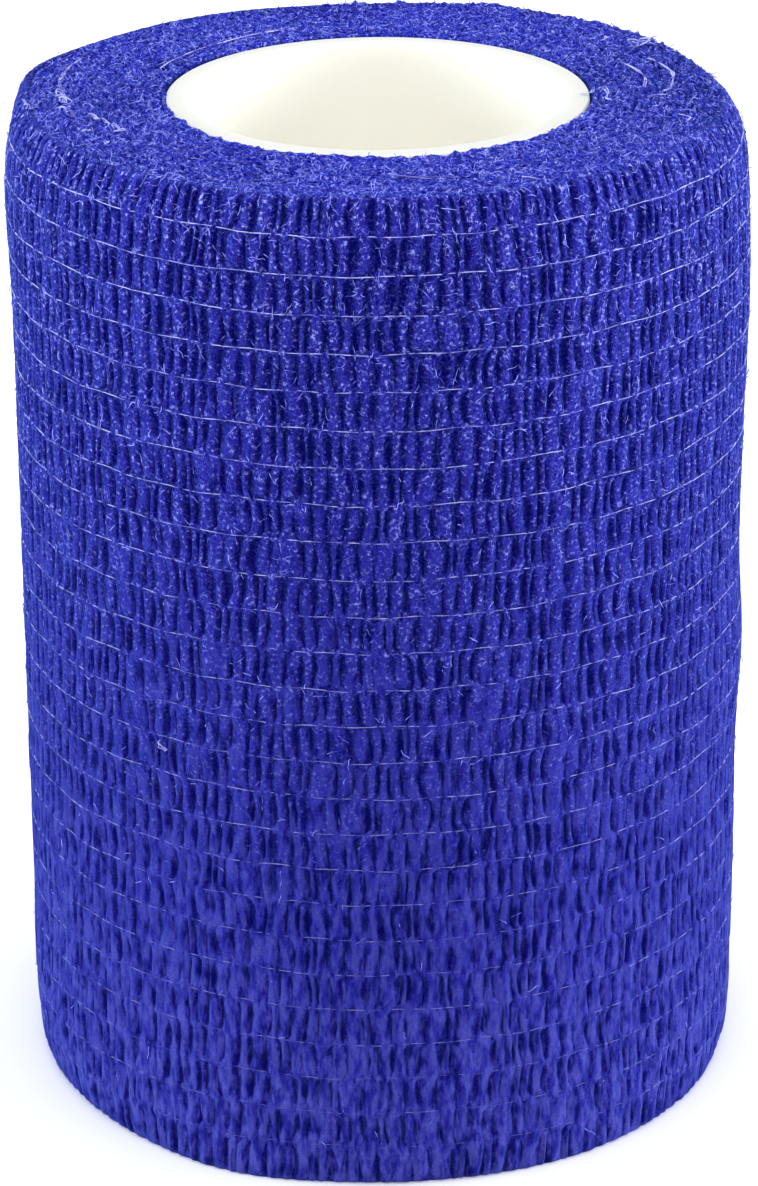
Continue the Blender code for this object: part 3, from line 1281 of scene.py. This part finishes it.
@dataclass
class LooseFibres:
    """Loose curly fibres that lie on, or stand off, a face of the cloth."""

    name: str
    host: Object
    finish: Material
    lay: FibreLay
    density: float  # fibres a square metre
    shortest: float = 0.7 * MM
    longest: float = 1.8 * MM
    radius: float = 0.03 * MM
    curl: float = 0.5 * MM
    curl_wave: float = 0.5 * MM
    lift: float = 0.03 * MM
    points: int = 5
    sides: int = 3
    seed: int = 5

    def sizes(self) -> Sizes:
        """Lists the tree's inputs."""
        own = named_sizes(self, "density shortest longest radius curl curl_wave lift seed")
        return {**own, "tilt": self.lay.value}

    def tree(self) -> NodeTree:
        """Builds the tree that scatters the fibres.

        Returns:
            The tree.
        """
        add, given = new_shape_tree(f"scatter_{self.name}", self.sizes())
        seed = {"Seed": given["seed"]}
        shown = add("GeometryNodeInputNamedAttribute", {"Name": FUZZ}, data_type="FLOAT")
        density = add(MATH, {0: shown, 1: given["density"]}, operation="MULTIPLY")
        spread = {"Mesh": given["Shape"], "Density": density, **seed}
        roots = add("GeometryNodeDistributePointsOnFaces", spread, distribute_method="RANDOM").outputs
        fibre = add("GeometryNodeCurvePrimitiveLine", {"Start": (-0.5, 0.0, 0.0), "End": (0.5, 0.0, 0.0)})
        jointed = add("GeometryNodeResampleCurve", {"Curve": fibre, "Count": self.points}, mode="COUNT")
        back = add(MATH, {0: given["tilt"], 1: -1.0}, operation="MULTIPLY")
        lowest = add(JOIN, {"Y": back, "Z": -math.pi})
        highest = add(JOIN, {"Y": given["tilt"], "Z": math.pi})
        angles = add("FunctionNodeRandomValue", {0: lowest, 1: highest, **seed}, data_type="FLOAT_VECTOR")
        spin = add("FunctionNodeEulerToRotation", {0: angles})
        turn = {"Rotation": roots["Rotation"], "Rotate By": spin}
        aim = add("FunctionNodeRotateRotation", turn, rotation_space="LOCAL")
        lengths = {2: given["shortest"], 3: given["longest"], **seed}
        length = add("FunctionNodeRandomValue", lengths, data_type="FLOAT")
        lifted = add(VECTOR, {0: roots["Normal"], "Scale": given["lift"]}, operation="SCALE")
        off = add("GeometryNodeSetPosition", {"Geometry": roots["Points"], "Offset": lifted})
        laid = {"Points": off, "Instance": jointed, "Rotation": aim, "Scale": length}
        loose = add("GeometryNodeRealizeInstances", {"Geometry": add("GeometryNodeInstanceOnPoints", laid)})
        curly = push_by_noise(add, loose, given["curl"], given["curl_wave"])
        return close_shape_tree(add, lay_tubes(add, curly, given["radius"], self.sides), self.finish)

    def build(self) -> Object:
        """Scatters the fibres."""
        return run_shape_tree(self.name, self.tree(), self.sizes(), self.host.data.copy())


@dataclass(frozen=True)
class FrayedEnd:
    """A bit of elastic thread that has sprung out: where it lies and how it curls."""

    start: tuple[float, float, float]  # millimetres
    end: tuple[float, float, float]
    bow_mm: float = 0.0  # how far its middle stands to the right of a straight line
    curl_mm: float = 0.0  # radius of its loops
    loops: float = 0.0
    strands: int = 1


FRAYED_ENDS = (
    FrayedEnd((-25.5, -1.8, 75.12), (-25.0, -3.8, 75.12), 0.1, 0.15, 2.0, 2),
    FrayedEnd((-25.0, -3.8, 75.12), (-24.3, -1.6, 75.12), 0.2, 0.1, 1.0, 2),
    FrayedEnd((-23.0, -0.2, 75.15), (-22.4, -2.6, 75.15), 0.2, 0.4, 2.5, 2),
    FrayedEnd((-22.7, -4.1, 75.15), (-21.9, -6.0, 75.15), -0.2, 0.35, 2.0, 2),
    FrayedEnd((-21.6, -4.9, 75.15), (-21.5, -6.4, 75.15), 0.3, 0.2, 1.0),
    FrayedEnd((-20.6, -5.4, 75.15), (-19.1, -7.5, 75.15), 0.2, 0.2, 2.0, 3),
    FrayedEnd((-21.0, -9.7, 75.15), (-20.4, -9.2, 75.15), 0.1, 0.15, 1.0, 2),
    FrayedEnd((-18.6, -8.9, 75.15), (-17.9, -10.3, 75.15), 0.2, 0.3, 1.5, 2),
    FrayedEnd((-19.2, -12.8, 75.15), (-18.8, -12.3, 75.15), 0.1, 0.1, 0.5),
    FrayedEnd((-23.2, 2.0, 75.12), (-22.0, 9.5, 75.12), -0.4, 0.0, 0.0, 3),
    FrayedEnd((-16.0, 6.6, 75.12), (-11.4, 13.8, 75.12), -0.6, 0.0, 0.0, 2),
    FrayedEnd((-11.4, 13.8, 75.12), (-6.4, 17.3, 75.12), -0.3, 0.0, 0.0, 2),
    FrayedEnd((16.7, 13.1, 75.15), (17.4, 14.2, 75.15), 0.2, 0.2, 1.0, 2),
    FrayedEnd((18.7, 11.4, 75.15), (20.7, 12.1, 75.15), 0.2, 0.45, 2.5, 3),
    FrayedEnd((17.9, 7.6, 75.12), (19.4, 0.7, 75.15), -0.8, 0.0, 0.0, 3),
    FrayedEnd((20.1, 8.3, 75.15), (21.5, 1.7, 75.15), -0.7, 0.0, 0.0, 4),
    FrayedEnd((21.5, 1.7, 75.15), (20.8, -0.4, 75.15), -0.2, 0.1, 1.0, 3),
    FrayedEnd((19.5, -2.1, 75.2), (20.8, -1.4, 75.2), -0.3, 0.0, 0.0, 3),
    FrayedEnd((16.7, 0.2, 75.15), (16.8, -3.4, 75.15), 0.3, 0.2, 1.5, 2),
    FrayedEnd((21.6, -6.2, 75.15), (22.0, -8.0, 75.15), -0.6, 0.0, 0.0),
    FrayedEnd((14.9, -1.0, 75.12), (15.7, 0.1, 75.15), 0.1, 0.0, 0.0, 2),
    FrayedEnd((0.7, -20.1, 75.15), (3.6, -21.3, 75.15), 0.1, 0.0, 0.0, 2),
    FrayedEnd((1.0, -20.6, 75.15), (5.2, -21.0, 75.12), 0.1, 0.0, 0.0, 1),
    FrayedEnd((9.9, -20.9, 75.15), (11.2, -21.5, 75.15), 0.0, 0.0, 0.0, 2),
    FrayedEnd((-15.95, -22.0, 33.6), (-15.5, -22.3, 32.9), 0.15, 0.12, 0.6, 3),
)


@dataclass
class FrayedEnds:
    """Pale bits of elastic thread that have sprung out of the cloth, most of them at the top."""

    form: WoundForm
    finish: Material
    diameter: float = 0.075 * MM
    sides: int = 5
    points: int = 24
    knots: int = 6  # places along a strand that waver on their own
    waver: float = 0.1 * MM
    seed: int = 21

    def strand(self, bit: FrayedEnd, rng: np.random.Generator) -> np.ndarray:
        """Lays out one strand of a bit.

        Args:
            bit: the bit.
            rng: where the strand's own unevenness comes from.

        Returns:
            Rows of x, y and z.
        """
        share = np.linspace(0, 1, self.points)[:, None]
        start, end = np.array(bit.start) * MM, np.array(bit.end) * MM
        along = (end - start) / np.linalg.norm(end - start)
        flat = bit.start[2] * MM >= self.form.height
        out = np.array([0.0, 0.0, 1.0]) if flat else np.array([start[0], start[1], 0.0])
        out = out / np.linalg.norm(out)
        side = np.cross(along, out)
        turn = 2 * np.pi * bit.loops * share + rng.uniform(0, 2)
        curl = bit.curl_mm * MM * rng.uniform(0.5, 1.0)
        places = np.linspace(0, 1, self.knots)
        sideways = np.interp(share, places, rng.normal(0, 1, self.knots)) * self.waver
        path = start + (end - start) * share
        path = path + side * (bit.bow_mm * MM * np.sin(np.pi * share) + curl * np.sin(turn) + sideways)
        path = path + along * curl * np.sin(1.6 * turn)
        return path + out * 0.7 * curl * (1 - np.cos(turn))

    def build(self) -> Object:
        """Makes the bits.

        Returns:
            The piece.
        """
        rng = np.random.default_rng(self.seed)
        paths = [self.strand(bit, rng) for bit in FRAYED_ENDS for _ in range(bit.strands)]
        return lay_strands("frayed_ends", paths, self.diameter, self.sides, self.finish)


@dataclass
class MouldedCore:
    """The white tube that the bandage is wound on."""

    form: WoundForm
    finish: Material
    wall: float = 1.6 * MM
    edge_round: float = 0.3 * MM
    round_points: int = 6
    steps: int = 144

    def outline(self) -> np.ndarray:
        """Draws the tube's half section, with its four edges rounded.

        Returns:
            A row of radius and height for each point, anticlockwise.
        """
        outer, high = self.form.core_radius, self.form.height
        inner, low = outer - self.wall, 0.0
        corners = ((outer, low, -1, 1), (outer, high, -1, -1), (inner, high, 1, -1), (inner, low, 1, 1))
        outline = []
        for number, (radius, height, inward, upward) in enumerate(corners):
            for point in range(self.round_points + 1):
                turn = math.pi / 2 * (number - 1) + math.pi / 2 * point / self.round_points
                away = radius + self.edge_round * (inward + math.cos(turn))
                outline.append((away, height + self.edge_round * (upward + math.sin(turn))))
        return np.array(outline)

    def build(self) -> Object:
        """Turns the half section round the axis.

        Returns:
            The piece.
        """
        away, height = self.outline().T
        angle = np.linspace(0, 2 * np.pi, self.steps, endpoint=False)[:, None]
        points = np.stack([away * np.cos(angle), away * np.sin(angle), height + 0 * angle], axis=-1)
        faces = ring_faces(self.steps, len(away), closed=True)
        return new_piece("moulded_core", points.reshape(-1, 3), faces, self.finish)


# ---- Studio ----


@dataclass(frozen=True)
class Softbox:
    """A soft light: its place, its size, what it aims at, and its power."""

    name: str
    place: tuple[float, float, float]
    size: tuple[float, float]
    power: float
    colour: str = "#ffffff"


@dataclass
class Studio:
    """The pale floor, the soft lights and the camera."""

    form: WoundForm
    floor_finish: Material
    floor_half: float = 6.0
    softboxes: tuple[Softbox, ...] = (
        Softbox("overhead", (0.0, 0.0, 0.9), (0.9, 0.7), 4.85),
        Softbox("left_side", (-1.3, 0.09, 0.21), (0.87, 0.61), 16.6, "#e0f4ff"),
        Softbox("right_side", (1.3, 0.09, 0.21), (0.87, 0.61), 19.4, "#f2faff"),
        Softbox("front_fill", (0.0, -0.95, 0.6), (0.6, 0.4), 2.6),
    )
    world_light: float = 0.5
    camera_place: tuple[float, float, float] = (0.0, -348.679 * MM, 176.672 * MM)
    camera_pitch: float = math.radians(21.982)
    camera_roll: float = math.radians(-0.402)
    camera_yaw: float = math.radians(0.023)
    lens: float = 151.2

    def build(self) -> None:
        """Sets up the floor, the lights, the sky and the camera."""
        self.floor()
        for softbox in self.softboxes:
            self.light(softbox)
        self.sky()
        self.camera()

    def floor(self) -> None:
        """Lays the floor, a plain square that isn't part of the roll."""
        half = self.floor_half
        corners = np.array([(-half, -half, 0), (half, -half, 0), (half, half, 0), (-half, half, 0)], float)
        new_piece("floor", corners, [(0, 1, 2, 3)], self.floor_finish)

    def light(self, softbox: Softbox) -> None:
        """Hangs one soft light, aimed at the middle of the roll.

        Args:
            softbox: the light.
        """
        lamp = bpy.data.lights.new(softbox.name, "AREA")
        lamp.shape = "RECTANGLE"
        lamp.size, lamp.size_y = softbox.size
        lamp.energy = softbox.power
        lamp.color = linear(softbox.colour)[:3]
        holder = bpy.data.objects.new(softbox.name, lamp)
        bpy.context.scene.collection.objects.link(holder)
        holder.location = softbox.place
        aim = Vector((0, 0, self.form.height / 2)) - Vector(softbox.place)
        holder.rotation_euler = aim.to_track_quat("-Z", "Y").to_euler()

    def sky(self) -> None:
        """Gives an even white light from all round."""
        world = bpy.data.worlds.new("studio_white")
        world.use_nodes = True
        background = world.node_tree.nodes["Background"]
        background.inputs["Color"].default_value = linear("#ffffff")
        background.inputs["Strength"].default_value = self.world_light
        bpy.context.scene.world = world

    def camera(self) -> None:
        """Places the camera in front of the roll and above it."""
        data = bpy.data.cameras.new("camera")
        data.lens = self.lens
        data.sensor_width = 36.0
        data.clip_start = 0.01
        data.clip_end = 50.0
        holder = bpy.data.objects.new("camera", data)
        bpy.context.scene.collection.objects.link(holder)
        holder.matrix_world = (
            Matrix.Translation(self.camera_place)
            @ Matrix.Rotation(self.camera_yaw, 4, "Z")
            @ Matrix.Rotation(math.pi / 2 - self.camera_pitch, 4, "X")
            @ Matrix.Rotation(self.camera_roll, 4, "Z")
        )
        bpy.context.scene.camera = holder


# ---- Assembly ----


def report(piece: Object) -> Object:
    """Seats a piece on the roll's body and reports it.

    Args:
        piece: the finished piece.

    Returns:
        The same piece.
    """
    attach(piece, BODY)
    log.info("%s: %d triangles", piece.name, triangles(piece))
    return piece


def main() -> None:
    """Builds the roll and its studio in order."""
    logging.basicConfig(level=logging.INFO, format="%(name)s: %(message)s")
    bpy.context.scene.view_settings.view_transform = "Standard"
    bpy.context.scene.view_settings.look = "Medium High Contrast"
    form = WoundForm()
    crinkle = Crinkle(form)
    cloth = CrinkledNonwoven().material()
    cut_edge = CUT_EDGE.material()
    fibre = LooseFibre().material()
    yarn = ElasticYarn().material()
    Studio(form, MattPaper().material()).build()

    core = report(MouldedCore(form, MouldedPolypropylene().material()).build())
    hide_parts("core_tube")

    outer = OuterTurn(form, crinkle, cloth)
    outer_turn = report(outer.build())
    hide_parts("bandage_roll")
    inner = WoundTurns(form, cut_edge)
    wound_turns = report(inner.build())
    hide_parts("bandage_roll")
    threads = report(ElasticThreads(form, crinkle, yarn).build())
    bits = report(FrayedEnds(form, yarn).build())

    wall_fibres = LooseFibres(
        "wall_fibres", outer_turn, fibre, FibreLay.FLAT, density=0.7e6, longest=1.3 * MM
    )
    raised_fibres = LooseFibres(
        "raised_fibres", outer_turn, fibre, FibreLay.RAISED, density=0.3e6, longest=0.7 * MM, seed=6
    )
    edge_fibres = LooseFibres(
        "edge_fibres", wound_turns, fibre, FibreLay.FLAT, density=4.5e6, longest=1.2 * MM, seed=8
    )
    loose = [report(fibres.build()) for fibres in (wall_fibres, raised_fibres, edge_fibres)]

    outer.length()
    inner.length()


if __name__ == "__main__":
    main()
